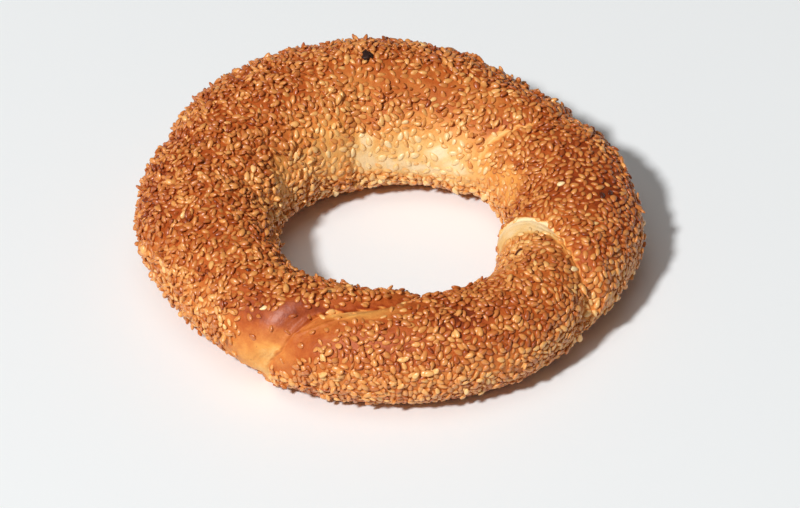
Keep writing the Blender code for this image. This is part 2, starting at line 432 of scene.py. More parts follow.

# %% [markdown]
# ## Where it browned, and where the seeds stuck
# The crust is darkest where it stood highest and driest. It stayed pale where the dough was
# stretched from under a fold, and on the wall of the hole, which the hot air hardly reached.
# Three numbers describe every place: how far it baked, how thickly it is seeded, and how glossy
# the syrup glaze dried. Low in the hole at the left the first one also holds painted light.
# Textures alone can't know the folds, so the numbers are painted as soft dabs on the two angles,
# and kept on the mesh as attributes for the shader to read. A dab has its place and its reach
# along and around in degrees, and a later dab covers an earlier one.

# %% Dabs of browning and seeding
Dab = namedtuple("Dab", "ring_angle tube_angle along around bake seeds")
DABS = [
    Dab(84, 106, 34, 17, 0.66, 0.68),   # a thinly seeded band over the back
    # partly painted light: the next three are the crust's own gold, set paler for light bounced off
    # the table
    Dab(134, 160, 26, 40, 0.42, 0.82),  # gold, fading into brown, left of the wall
    Dab(142, 178, 16, 30, 0.38, 0.90),
    Dab(121, 168, 12, 24, 0.30, 0.62),
    Dab(72, 186, 44, 54, 0.38, 0.80),   # the hole's wall at the back, hardly baked
    Dab(74, 180, 35, 36, 0.25, 0.74),
    Dab(74, 182, 28, 21, 0.16, 0.66),
    Dab(104, 161, 4.5, 11, 0.05, 0.30), # bare cream patches on the wall
    Dab(105, 182, 7, 13, 0.08, 0.30),
    Dab(90, 186, 9, 6, 0.08, 0.25),
    Dab(67, 167, 5.5, 8, 0.02, 0.05),
    Dab(76, 187, 8, 5, 0.04, 0.12),
    Dab(57, 178, 7, 6, 0.07, 0.30),
    Dab(24, 160, 12, 22, 0.40, 0.66),   # orange right of them
    Dab(86, 211, 64, 12, 0.22, 1.00),   # a fringe of pale seeds round the foot
    Dab(0, 76, 34, 42, 0.90, 0.74),     # the darkest shoulder, at the right
    Dab(-150, 8, 34, 30, 0.55, 0.95),   # pale flanks low at the left and front
    Dab(-85, -5, 40, 26, 0.55, 0.98),
    Dab(-52, 74, 16, 22, 0.76, 0.86),
    Dab(-12, 104, 7, 14, 0.74, 1.00),
    Dab(-15, 76, 6, 26, 0.84, 1.00),
    Dab(165, 92, 38, 54, 0.75, 1.00),
    # partly painted light: a real bare patch, set paler for light bounced off the table
    Dab(157, 156, 8, 18, 0.40, 0.60),   # a bare golden patch at the left of the hole
]
BAKED = 0.74             # the crust's ordinary browning, from 0, raw, to 1, burnt
SEEDED = 0.95            # and its ordinary covering of seeds
UNDER_BAKE = 0.60
UNDER_SEEDS = 0.30
FLANK_PALER = 0.16       # how much less it browned low on the outer side
WALL_PALER = 0.14        # and on the wall of the hole
GLOSS = 0.35
print("dabs:", len(DABS))

# %% [markdown]
# ## Touches of lighter and darker crust
# No oven is even, so the crust drifts lighter and darker inside those areas too. The two lighter
# touches low in the hole at the left are painted light instead, for light bounced off the table.
# A touch adds to the browning that is there instead of replacing it, so the edges of the dabs
# stay as they are.

# %% Touches
Tone = namedtuple("Tone", "ring_angle tube_angle along around change")
TONES = [
    # painted light: these two lighten the crust low in the hole, for light bounced off the table
    Tone(174, 172, 15, 46, -0.28),      # lighter low in the hole, at the left
    Tone(150, 176, 22, 34, -0.08),
    Tone(90, 214, 60, 16, 0.12),
    Tone(-30, 150, 12, 50, -0.12),
    Tone(56, 104, 12, 18, -0.10),
    Tone(108, 122, 13, 22, -0.14),
    Tone(42, 146, 16, 26, -0.06),
    Tone(-24, 100, 26, 66, -0.12),      # and over the front right
    Tone(-28, 6, 28, 32, -0.15),
    Tone(82, 34, 36, 20, -0.07),
    Tone(178, 24, 18, 40, 0.11),        # darker low at the left, and by the deep fold
    Tone(160, 58, 26, 28, 0.06),
    Tone(-120, 40, 12, 70, 0.10),
    Tone(18, 58, 9, 20, -0.10),
    Tone(-72, 74, 10, 24, 0.18),
]
print("touches:", len(TONES))

# %% [markdown]
# ## Bare dough beside the folds
# Dough drawn out from under a fold is smooth and nearly bare of seeds. It is pale where it came
# out last, and dark and glossy where syrup ran down and dried. Each stretch follows one side of
# a groove, 1 on the strand on top and -1 on the one below, from a low to a high tube angle. It
# reaches out so many millimetres at both ends, with its browning near the fold and far from it.

# %% Stretches
Stretch = namedtuple("Stretch", "crossing side low high start end near far seeds gloss")
STRETCHES = [
    Stretch(0, 1, 44, 66, 14, 11, 0.70, 0.72, 0.16, 0.72),
    Stretch(0, 1, 66, 86, 11, 3, 0.74, 0.78, 0.12, 0.66),
    Stretch(0, 1, 86, 150, 2.6, 2, 0.88, 0.84, 0.05, 0.35),
    Stretch(0, 1, 20, 34, 17, 15, 0.46, 0.62, 0.05, 0.50),
    Stretch(0, 1, -60, 12, 19, 16, 0.20, 0.52, 0.00, 0.30),
    Stretch(0, -1, -10, 28, 7, 9, 0.42, 0.56, 0.10, 0.30),
    Stretch(0, -1, 26, 66, 9, 12, 0.56, 0.66, 0.10, 0.30),
    Stretch(0, -1, 80, 116, 22, 5, 0.28, 0.50, 0.02, 0.30),
    Stretch(1, -1, 104, 172, 4, 12, 0.08, 0.28, 0.00, 0.15),
    Stretch(1, -1, -60, 100, 2.2, 2.6, 0.50, 0.66, 0.30, 0.25),
    Stretch(1, 1, -60, 100, 0.8, 0.8, 0.52, 0.66, 0.30, 0.25),
    Stretch(1, -1, 100, 172, 1.1, 3.8, 0.02, 0.12, 0.00, 0.10),
    Stretch(1, 1, 116, 165, 0.4, 1.7, 0.04, 0.30, 0.00, 0.10),
    Stretch(2, -1, 104, 150, 1, 2.2, 0.20, 0.46, 0.15, 0.20),
    Stretch(2, 1, 104, 150, 0.6, 1.2, 0.26, 0.46, 0.25, 0.20),
    Stretch(4, 1, 130, 200, 1, 1.6, 0.45, 0.55, 0.40, 0.20),
]
STREAKY = 0.18           # how unevenly their far edges end
print("stretches:", len(STRETCHES))

# %% [markdown]
# ## Reading all of them at a place
# The lists are laid over each other in order: the ordinary crust, the dabs, the stretches, then
# the touches, and last the band underneath. Noise first pushes the two angles about, because a
# dab with a clean oval edge would look painted on.

# %% Browning, seeding and gloss anywhere
def mixed(first, second, share):
    return first + (second - first) * share


def dab_weight(dab, ring_angle, tube):
    """1 over most of a dab, fading out at its edge."""
    along = wrapped(ring_angle - radians(dab.ring_angle)) / radians(dab.along)
    around = (tube - dab.tube_angle) / dab.around
    return np.exp(-(along ** 2 + around ** 2) ** 2)


RAGGED = 0.9 * MM        # how far noise pushes the edges of all these places along the ring
RAGGED_ROUND = 2.7 * MM  # and round the rope
RAGGED_SIZE = 4.5 * MM


def ragged(ring_angle, tube_angle):
    """The two angles, pushed about by noise so that no edge is clean."""
    half = ROPE_WIDTH / 2.0
    radius = RING_RADIUS + half * np.cos(tube_angle)
    points = spun(ring_angle, radius, half * np.sin(tube_angle))
    small = RAGGED_SIZE / 2.5
    ring_push = noise_at(points, RAGGED_SIZE, 21.0) + 0.5 * noise_at(points, small, 3.0)
    tube_push = noise_at(points, RAGGED_SIZE, 57.0) + 0.5 * noise_at(points, small, 9.0)
    ring_angle = ring_angle + ring_push * RAGGED / radius
    return ring_angle, tube_angle + tube_push * RAGGED_ROUND / half


def crust_fields(ring_angle, tube_angle):
    """Baking, seeding and gloss of places on the crust."""
    ring_angle, tube_angle = ragged(ring_angle, tube_angle)
    tube = tube_degrees(tube_angle)
    beneath = smoothstep(-0.50, -0.85, np.sin(tube_angle))
    bake = np.full_like(tube, BAKED) - FLANK_PALER * smoothstep(30.0, -10.0, tube)
    bake -= WALL_PALER * smoothstep(140.0, 185.0, tube)
    seeds = np.full_like(tube, SEEDED)
    gloss = np.full_like(tube, GLOSS)
    for dab in DABS:
        weight = dab_weight(dab, ring_angle, tube)
        bake = mixed(bake, dab.bake, weight)
        seeds = mixed(seeds, dab.seeds, weight)
    for stretch in STRETCHES:
        over = over_side(stretch.crossing, ring_angle, tube_angle) * stretch.side
        share = np.clip((tube - stretch.low) / (stretch.high - stretch.low), 0.0, 1.0)
        reach = mixed(stretch.start, stretch.end, share) * MM
        reach = reach * (1.0 + STREAKY * streaks(tube * 0.1 * MM, tube, stretch.low))
        weight = window(tube, stretch.low, stretch.high)
        weight *= smoothstep(-0.5 * MM, 0.1 * MM, over) * smoothstep(1.3, 0.7, over / reach)
        shade = mixed(stretch.near, stretch.far, np.clip(over / reach, 0.0, 1.0))
        bake = mixed(bake, shade, weight)
        seeds = mixed(seeds, stretch.seeds, weight)
        gloss = mixed(gloss, stretch.gloss, weight)
    for tone in TONES:
        weight = dab_weight(tone, ring_angle, tube) * smoothstep(0.0, 0.3, bake)
        bake = bake + tone.change * weight
    bake = mixed(bake, UNDER_BAKE, beneath)
    seeds = mixed(seeds, UNDER_SEEDS, beneath)
    return bake, seeds, gloss


print("browning on top at the front:",
      crust_fields(np.radians([-90.0]), np.radians([90.0]))[0].round(2))

# %% [markdown]
# ## Shader maths in Python
# Food needs many small sums in its shaders: browning plus mottling, less the glaze. Written as
# Math nodes wired by hand they can't be read back. So a small class wraps a socket, and an
# expression such as 1 - mask * 0.5 adds the nodes by itself. Any other node goes through one
# method, which takes its settings first and then the values or wires of its sockets.

# %% Nodes from expressions
class Wire:
    """An output socket that can be used in sums like a number."""

    def __init__(self, paint, socket):
        self.paint = paint
        self.socket = socket

    def sum(self, operation, first, second):
        return self.paint.node("ShaderNodeMath", {"operation": operation}, {0: first, 1: second})

    def __add__(self, other):
        return self.sum("ADD", self, other)

    def __sub__(self, other):
        return self.sum("SUBTRACT", self, other)

    def __rsub__(self, other):
        return self.sum("SUBTRACT", other, self)

    def __mul__(self, other):
        return self.sum("MULTIPLY", self, other)

    __radd__ = __add__
    __rmul__ = __mul__


class Paint:
    """A material, and one way to add any node to it."""

    def __init__(self, name):
        self.material = bpy.data.materials.new(name)
        self.material.use_nodes = True
        self.tree = self.material.node_tree
        self.shader = self.tree.nodes["Principled BSDF"]

    def plug(self, socket, value):
        if isinstance(value, Wire):
            self.tree.links.new(value.socket, socket)
        else:
            socket.default_value = value

    def node(self, kind, settings=None, inputs=None, output=0):
        """Add a node: its settings first, then the values or wires of its sockets."""
        node = self.tree.nodes.new(kind)
        for name, value in (settings or {}).items():
            if name == "stops":
                set_stops(node.color_ramp, value)
            else:
                setattr(node, name, value)
        for key, value in (inputs or {}).items():
            self.plug(node.inputs[key], value)
        return Wire(self, node.outputs[output])

    def set(self, **sockets):
        """Give the shader's own sockets their values or wires."""
        for name, value in sockets.items():
            self.plug(self.shader.inputs[name.replace("_", " ")], value)

    def attribute(self, name):
        return self.node("ShaderNodeAttribute", {"attribute_name": name}, output="Fac")

    def noise(self, place, size, detail=2.0, roughness=0.5):
        """Noise from 0 to 1 with lumps of about the given size in metres."""
        return self.node("ShaderNodeTexNoise", {}, {
            "Vector": place, "Scale": 1.0 / size, "Detail": detail, "Roughness": roughness})

    def between(self, low, high, value):
        """0 below low, 1 above high, and a smooth S between them."""
        return self.node("ShaderNodeMapRange", {"interpolation_type": "SMOOTHSTEP"}, {
            "Value": value, "From Min": low, "From Max": high})

    def blend(self, first, second, share):
        """Mix two colours."""
        return self.node("ShaderNodeMix", {"data_type": "RGBA"},
                         {0: share, 6: first, 7: second}, output=2)

    def ramp(self, value, stops):
        return self.node("ShaderNodeValToRGB", {"stops": stops}, {0: value})

    def bump(self, height, depth, normal=None):
        """Bumps of the given depth in metres, over any bumps before them."""
        inputs = {"Height": height, "Distance": depth, "Strength": 1.0}
        if normal is not None:
            inputs["Normal"] = normal
        return self.node("ShaderNodeBump", {}, inputs)


def colour(red, green, blue):
    """A linear colour from the 0 to 255 numbers of a colour picker."""
    def linear(level):
        share = level / 255.0
        return share / 12.92 if share <= 0.04045 else ((share + 0.055) / 1.055) ** 2.4
    return (linear(red), linear(green), linear(blue), 1.0)


def set_stops(ramp, stops):
    """Give a colour ramp its stops, from a list of positions and colours."""
    for number, (position, shade) in enumerate(stops):
        stop = ramp.elements[number] if number < 2 else ramp.elements.new(position)
        stop.position = position
        stop.color = shade


# %% [markdown]
# ## Crust paint
# Crust runs from cream through gold and orange to a deep red brown as its sugar and syrup
# caramelise, and the change is in blotches of every size. One colour ramp holds that whole
# range. The painted browning picks the place on it, noise at three sizes shifts it, and fine
# dark freckles sit on top. The glaze is a clear coat where the dough was smooth and bare.

# %% Crust paint
CRUST_STOPS = [
    (0.00, colour(246, 224, 182)),
    (0.18, colour(241, 193, 121)),
    (0.38, colour(230, 157, 77)),
    (0.55, colour(208, 123, 56)),
    (0.72, colour(182, 88, 32)),
    (0.86, colour(150, 61, 18)),
    (1.00, colour(90, 31, 9)),
]
FRECKLE_COLOUR = colour(96, 40, 16)


def crust_paint():
    paint = Paint("baked_crust")
    place = paint.node("ShaderNodeTexCoord", output="Object")
    bake = paint.attribute("bake")
    gloss = paint.attribute("gloss")
    blotches = paint.noise(place, 9.0 * MM, 3.0, 0.55) - 0.5
    mottle = paint.noise(place, 2.6 * MM) - 0.5
    grain = paint.noise(place, 0.7 * MM, 2.0, 0.6) - 0.5
    lively = 1.0 - 0.55 * paint.between(0.30, 0.0, bake)
    browned = bake + (0.26 * blotches + 0.22 * mottle + 0.10 * grain) * lively
    crumb = paint.ramp(browned, CRUST_STOPS)
    freckles = paint.between(0.68, 0.76, paint.noise(place, 1.7 * MM, 2.0, 0.7))
    freckled = paint.blend(crumb, FRECKLE_COLOUR, 0.35 * freckles)
    dull = paint.noise(place, 3.5 * MM, 3.0, 0.6)
    height = paint.noise(place, 1.6 * MM, 3.0, 0.55)
    pores = paint.noise(place, 0.45 * MM, 2.0, 0.6)
    skin = paint.bump(pores, 0.05 * MM, paint.bump(height, 0.30 * MM))
    paint.set(Base_Color=freckled, Normal=skin, Roughness=0.62 - 0.26 * gloss + 0.16 * (dull - 0.5))
    paint.set(IOR=1.45, Specular_IOR_Level=0.32, Coat_Roughness=0.50)
    paint.set(Coat_Weight=0.60 * paint.between(0.30, 0.80, gloss))
    return paint.material


# %% [markdown]
# ## The crust itself
# A torus could start as a spun circle, but spun rows run straight across the rope. A grid rolled
# into a ring gives rows that can follow the grooves instead. They gather beside each fold, where
# the lips and creases need them.

# %% Helpers for meshes
GATHER = 0.70


def along_the_twist(turn, tube_angle):
    """Ring angle of each grid line: the lines run with the grooves and gather beside them."""
    spans = turn % 1.0 * len(CROSSINGS)
    index = spans.astype(int)
    share = spans - index
    share -= GATHER * np.sin(tau * share) / tau
    angles = np.array([crossing.ring_angle for crossing in CROSSINGS])
    steps = (np.roll(angles, -1) - angles) % 360.0
    runs = np.stack([sweep(crossing, tube_angle) for crossing in CROSSINGS])
    places = np.arange(len(turn))
    index = index % len(CROSSINGS)
    here = runs[index, places]
    there = runs[(index + 1) % len(CROSSINGS), places]
    run = here + (there - here) * smoothstep(0.0, 1.0, share)
    return np.radians(angles[index] + steps[index] * share + run)


def numbers(collection, name, width):
    """Read one property of every item of a mesh into an array."""
    flat = np.empty(len(collection) * width, dtype=np.float32)
    collection.foreach_get(name, flat)
    return flat.reshape(-1, width).astype(float)


def new_piece(name, mesh, paint):
    """Turn a mesh into a painted object that rides on the ring's one body."""
    mesh.shade_smooth()
    mesh.materials.append(paint)
    piece = bpy.data.objects.new(name, mesh)
    bpy.context.scene.collection.objects.link(piece)
    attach(piece, "root")
    return piece


def keep_attribute(mesh, name, values):
    """Store one number for every vertex, for the shader to read."""
    attribute = mesh.attributes.new(name, "FLOAT", "POINT")
    attribute.data.foreach_set("value", values.astype(np.float32))


# %% Roll a grid into a ring
RING_STEPS = 560
ROPE_STEPS = 174

ring = bmesh.new()
bmesh.ops.create_grid(ring, x_segments=RING_STEPS, y_segments=ROPE_STEPS, size=0.5)
for vertex in ring.verts:
    turn, tube_angle = vertex.co.x * tau, vertex.co.y * tau
    radius = RING_RADIUS + ROPE_WIDTH / 2.0 * cos(tube_angle)
    vertex.co = (radius * cos(turn), radius * sin(turn), ROPE_WIDTH / 2.0 * sin(tube_angle))
bmesh.ops.remove_doubles(ring, verts=ring.verts[:], dist=0.01 * MM)
if ring.calc_volume(signed=True) < 0.0:
    bmesh.ops.reverse_faces(ring, faces=ring.faces[:])
crust_mesh = bpy.data.meshes.new("crust")
ring.to_mesh(crust_mesh)
ring.free()
print("ring:", len(crust_mesh.vertices), "vertices in", ROPE_STEPS, "rows")

# %% [markdown]
# ## From ring to crust
# Every vertex is asked for its two angles, and the functions above say where it belongs. Folds
# and fine lumps are added as one extra lift. The ring is then moved to its place in the CAD
# frame, and its browning and gloss are stored on its vertices.

# %% Shape the crust
LUMPS = [(6.0 * MM, 0.22 * MM), (2.6 * MM, 0.10 * MM)]
TRAY_GAP = 0.45 * MM     # the underside stands on its seeds
TRAY_MARKS = 0.15 * MM
TRAY_MARK_SIZE = 5.0 * MM

plain = numbers(crust_mesh.vertices, "co", 3)
turns = np.arctan2(plain[:, 1], plain[:, 0]) / tau
tube_angles = np.arctan2(plain[:, 2], np.hypot(plain[:, 0], plain[:, 1]) - RING_RADIUS)
ring_angles = along_the_twist(turns, tube_angles)
smooth = crust_place(ring_angles, tube_angles)
middle = (smooth.min(axis=0) + smooth.max(axis=0)) / 2.0
shift = (ring_low + ring_high) / 2.0 - middle
shift[2] = 0.0
fine = fold_relief(ring_angles, tube_angles)
for size, height in LUMPS:
    fine += height * noise_at(smooth, size, seed=size / MM)
shaped = crust_place(ring_angles, tube_angles, fine) + shift
tray_marks = TRAY_MARKS * noise_at(smooth, TRAY_MARK_SIZE, seed=40.0)
shaped[:, 2] = np.maximum(shaped[:, 2], TRAY_GAP + tray_marks)
crust_mesh.vertices.foreach_set("co", shaped.astype(np.float32).ravel())
crust_mesh.update()
bake, seeding, gloss = crust_fields(ring_angles, tube_angles)
keep_attribute(crust_mesh, "bake", bake)
keep_attribute(crust_mesh, "gloss", gloss)
crust = new_piece("crust", crust_mesh, crust_paint())
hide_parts("simit")
print("crust:", len(crust_mesh.vertices), "vertices, box in mm",
      ((shaped.max(axis=0) - shaped.min(axis=0)) / MM).round(1))

# %% [markdown]
# ## Where each seed lies
# The rope is rolled in syrup and then in sesame, so the seeds lie at random, but never inside
# one another: where they are thick they jostle until they touch, and the last ones ride up on
# their neighbours. Places are drawn at random over the crust's area and its seeding. Each place
# too near an earlier one is dropped, then every seed is pushed from its neighbours as if it
# were three beads in a row.

# %% Draw places on the crust
SEED_LENGTH = 3.25 * MM
SEED_WIDTH = 2.00 * MM
SEED_HEIGHT = 1.12 * MM
CANDIDATES = 60000
SPACING = 1.76 * MM      # between the middles of neighbours where the seeds lie thickest
THINNEST = 0.08          # the least seeding that still sets a spacing
CLUMP_SIZE = 9.0 * MM    # thin places and thick ones
SMALL_CLUMP_SIZE = CLUMP_SIZE / 2.2
CLUMPING = 0.32
random = np.random.default_rng(7)

quads = np.array([tuple(face.vertices) for face in crust_mesh.polygons])
areas = numbers(crust_mesh.polygons, "area", 1)[:, 0]
normals = numbers(crust_mesh.vertex_normals, "vector", 3)
want = seeding[quads].mean(axis=1)
centres = shaped[quads].mean(axis=1)
clumps = noise_at(centres, CLUMP_SIZE, seed=5.0)
clumps = clumps + 0.6 * noise_at(centres, SMALL_CLUMP_SIZE, seed=6.0)
want = want * (1.0 - CLUMPING * smoothstep(0.1, 0.8, clumps))
odds = areas * np.clip(want, 0.0, 1.0)
picks = random.choice(len(quads), CANDIDATES, p=odds / odds.sum())
u, v = random.random((2, CANDIDATES, 1))
corner_shares = np.stack([(1 - u) * (1 - v), u * (1 - v), u * v, (1 - u) * v], axis=1)
spots = (shaped[quads[picks]] * corner_shares).sum(axis=1)
spacings = SPACING / np.sqrt(np.clip(want[picks], THINNEST, 1.0))
print("places drawn:", len(spots))


# %% Keep them apart
def tree_of(places):
    """The places in a tree that finds neighbours fast."""
    tree = kdtree.KDTree(len(places))
    for number, place in enumerate(places):
        tree.insert(place, number)
    tree.balance()
    return tree


def spread_out(spots, spacings):
    """Keep each place that is far enough from every place kept before it."""
    tree = tree_of(spots)
    free = np.ones(len(spots), dtype=bool)
    kept = []
    for number, (spot, spacing) in enumerate(zip(spots, spacings)):
        if free[number]:
            kept.append(number)
            free[[other for _, other, _ in tree.find_range(spot, spacing)]] = False
    return np.array(kept)


def row_lengths(rows):
    return np.linalg.norm(rows, axis=1, keepdims=True)


def unit(rows):
    return rows / row_lengths(rows)


kept = spread_out(spots, spacings)
places = spots[kept]
count = len(kept)
corners = quads[picks[kept]]
shares = corner_shares[kept]
outward = unit((normals[corners] * shares).sum(axis=1))
print("seeds lying on the crust:", count)

# %% Push neighbours apart
BEADS = [-0.60 * MM, 0.0, 0.60 * MM]
BEAD_RADIUS = 0.86 * MM
NEIGHBOURHOOD = 4.6 * MM
ROUNDS = 30
SHOVE = 0.16             # how much of an overlap each round clears
TURNING = 0.9 * MM       # how hard a seed is to turn, as a length
SIZE_SPREAD = 0.12
SMALLEST, LARGEST = 0.70, 1.30


def near_pairs(places, reach):
    """Every pair of places closer together than reach."""
    tree = tree_of(places)
    pairs = [(number, other) for number, place in enumerate(places)
             for _, other, _ in tree.find_range(place, reach) if other > number]
    return np.array(pairs).T


def within_skin(rows, outward):
    """The part of each direction that lies along the crust."""
    return rows - outward * (rows * outward).sum(axis=1, keepdims=True)


def bead_overlaps(places, along, sizes, pairs):
    """For each bead against each bead: both offsets, the way apart and the overlap."""
    first, second = pairs
    room = BEAD_RADIUS * (sizes[first] + sizes[second])
    for one in BEADS:
        for two in BEADS:
            ends = places[first] + along[first] * sizes[first] * one
            apart = ends - places[second] - along[second] * sizes[second] * two
            distance = row_lengths(apart) + 1e-9
            yield one, two, apart / distance, np.maximum(room - distance, 0.0)


def jostle(places, along, outward, sizes):
    """Shift and turn the seeds on the crust until they hardly overlap."""
    pairs = near_pairs(places, NEIGHBOURHOOD)
    first, second = pairs
    for _ in range(ROUNDS):
        push = np.zeros_like(places)
        twist = np.zeros_like(places)
        for one, two, way, overlap in bead_overlaps(places, along, sizes, pairs):
            shove = way * overlap * SHOVE
            np.add.at(push, first, shove)
            np.add.at(push, second, -shove)
            np.add.at(twist, first, shove * one)
            np.add.at(twist, second, -shove * two)
        places = places + within_skin(push, outward)
        along = unit(within_skin(along + twist / TURNING ** 2, outward))
    return places, along, pairs


sizes = np.clip(random.normal(1.0, SIZE_SPREAD, (count, 1)), SMALLEST, LARGEST)
along = unit(within_skin(random.normal(size=(count, 3)), outward))
places, along, pairs = jostle(places, along, outward, sizes)
print("neighbouring pairs:", len(pairs[0]))

# %% [markdown]
# ## How deep each seed sits
# Jostling slides seeds off the curved crust, so each is set back on it. Seeds are bedded deep in
# soft, pale dough and lie flat there, and stand proud and uneven where the crust is thick with
# them. Where two still overlap, one of them is lifted a little and leans away from the other.

# %% Set the seeds back on the crust
SUNK = 0.17 * MM         # how far a seed's middle stands above the crust
FLUSH = 0.24 * MM        # how much deeper it sits on the soft, pale wall
SET_IN = 0.16 * MM       # and on thinly seeded crust
LOOSE_LEAN = 0.30        # how unevenly the seeds lie, as a slope
CALM_ANGLE = -30.0       # they lie flattest at the front right, where the ring was rolled last
CALM = 0.55
RIDE_UP = 0.80 * MM      # how high a seed is lifted by a neighbour right under it
RIDE_LEAN = 0.55
UNDERNEATH = -0.6        # seeds whose crust faces down more than this are pressed flat

skin = BVHTree.FromPolygons(shaped.tolist(), quads.tolist())
landed = [skin.find_nearest(place) for place in places.tolist()]
places = np.array([hit[0] for hit in landed])
struck = np.array([hit[2] for hit in landed])
outward = unit(normals[quads[struck]].mean(axis=1))
seed_bake_and_painted_light = bake[quads[struck]].mean(axis=1)
seed_want = seeding[quads[struck]].mean(axis=1)
beneath = outward[:, 2] < UNDERNEATH

rank = random.random(count)
lift = np.zeros((count, 1))
calm = wave(np.arctan2(places[:, 1:2], places[:, 0:1]), CALM_ANGLE)
uneven = LOOSE_LEAN * (1.0 - CALM * calm)
lean = random.normal(0.0, 1.0, (count, 3)) * uneven
first, second = pairs
deepest = np.zeros((len(first), 1))
for _, _, _, overlap in bead_overlaps(places, along, sizes, pairs):
    deepest = np.maximum(deepest, overlap)
ride = smoothstep(0.10 * MM, 0.70 * MM, deepest)
upper_first = rank[first] > rank[second]
upper = np.where(upper_first, first, second)
lower = np.where(upper_first, second, first)
np.maximum.at(lift, upper, RIDE_UP * ride)
away = places[upper] - places[lower]
np.add.at(lean, upper, RIDE_LEAN * ride * away / (row_lengths(away) + 1e-9))
lift[beneath] = 0.0
lean[beneath] *= 0.2
flush = smoothstep(0.50, 0.25, seed_bake_and_painted_light) * smoothstep(0.95, 0.70, seed_want)
thin = smoothstep(0.85, 0.45, seed_want)
sunk = SUNK - (FLUSH * flush + SET_IN * thin * (1.0 - flush))[:, None]
lean *= (1.0 - 0.75 * flush)[:, None]
middles = places + outward * (sunk + lift)
facing = unit(outward + lean)
print("seeds bedded in soft dough:", int((flush > 0.5).sum()), "underneath:", int(beneath.sum()))

# %% [markdown]
# ## Seeds on top of seeds
# Where the covering is thick, some seeds never reached the dough and lie at any angle on those
# below. They make the rough outline of a simit. A few gather in tufts low on its sides.

# %% A second, scattered layer
TOP_SEEDS = 1900
THICK = 0.80             # they lie only where the covering is thicker than this
TOP_LEAN = 1.4
TOP_SLIDE = 0.8 * MM
TOP_LOW, TOP_HIGH = 0.70 * MM, 1.25 * MM
FRINGE = Dab(90.0, 210.0, 66.0, 14.0, 0.0, 0.0)
FRINGE_SHARE = 4.0
TUFTS = [Dab(-147.0, -12.0, 2.6, 7.0, 0.0, 0.0), Dab(-39.0, -13.0, 2.6, 7.0, 0.0, 0.0)]
TUFT_SHARE = 60.0

seed_rings = ring_angles[quads[struck]][:, 0]
seed_tubes = tube_degrees(tube_angles[quads[struck]][:, 0])
perch_odds = (seed_want > THICK) * ~beneath * (1.0 + clumps[struck] * -0.8).clip(0.1)
perch_odds = perch_odds * (1.0 - CALM * calm[:, 0])
perch_odds = perch_odds * (1.0 + FRINGE_SHARE * dab_weight(FRINGE, seed_rings, seed_tubes))
for tuft in TUFTS:
    perch_odds = perch_odds * (1.0 + TUFT_SHARE * dab_weight(tuft, seed_rings, seed_tubes))
perch = random.choice(count, TOP_SEEDS, replace=False, p=perch_odds / perch_odds.sum())
top_facing = random.normal(0.0, TOP_LEAN, (TOP_SEEDS, 3)) * uneven[perch]
top_facing = unit(outward[perch] + top_facing)
top_along = within_skin(random.normal(size=(TOP_SEEDS, 3)), top_facing)
slide = within_skin(random.normal(0.0, TOP_SLIDE, (TOP_SEEDS, 3)), outward[perch])
top_heights = random.uniform(TOP_LOW, TOP_HIGH, (TOP_SEEDS, 1))
top_middles = places[perch] + slide + outward[perch] * top_heights
print("seeds on top of others:", len(top_middles))

# %% [markdown]
# ## One sesame seed
# A sesame seed is a flat drop, 3 mm long, rounder at one end. A sphere of only 48 faces is
# enough, pinched towards the tip: smooth shading rounds it, and thousands of copies stay
# light. Each copy gets its own length, width, thickness, lean and roast, because a repeated
# seed shows at once. Blender deals a sphere's faces in a new order each run, so they are sorted.

# %% Shape a seed
seed_ball = bmesh.new()
bmesh.ops.create_uvsphere(seed_ball, u_segments=8, v_segments=6, radius=1.0)
for vertex in seed_ball.verts:
    slim = 1.0 - 0.30 * vertex.co.z - 0.10 * vertex.co.z ** 2
    vertex.co.x *= slim
    vertex.co.y *= 0.55 + 0.45 * slim
seed_mesh = bpy.data.meshes.new("one_seed")
seed_ball.to_mesh(seed_mesh)
seed_ball.free()
seed_points = numbers(seed_mesh.vertices, "co", 3)
seed_faces = sorted(tuple(face.vertices) for face in seed_mesh.polygons)
# how near each vertex lies to the seed's edge, for the painted shade towards it
seed_edge_shade = 1.0 - np.abs(seed_points[:, 1])
seed_tip = seed_points[:, 2]
bpy.data.meshes.remove(seed_mesh)
print("one seed:", len(seed_points), "vertices,", len(seed_faces), "faces")

# %% [markdown]
# ## Many seeds in one piece
# Thousands of separate objects would be slow, and copies that exist only while rendering are
# lost in an export. So the seed's own vertices are multiplied by every seed's three axes at
# once, and each kind of seed becomes one real mesh. Its roast, the painted shade towards its
# edge and its tip are stored on the vertices.

# %% Join the seeds of a kind
ON_EDGE = 0.11           # the share of seeds that stand on their sides
EDGE_LOW, EDGE_HIGH = 0.5, 1.2
ROLL = 0.16
SHAPE_SPREAD = 0.07
ABOVE_TABLE = 0.02 * MM


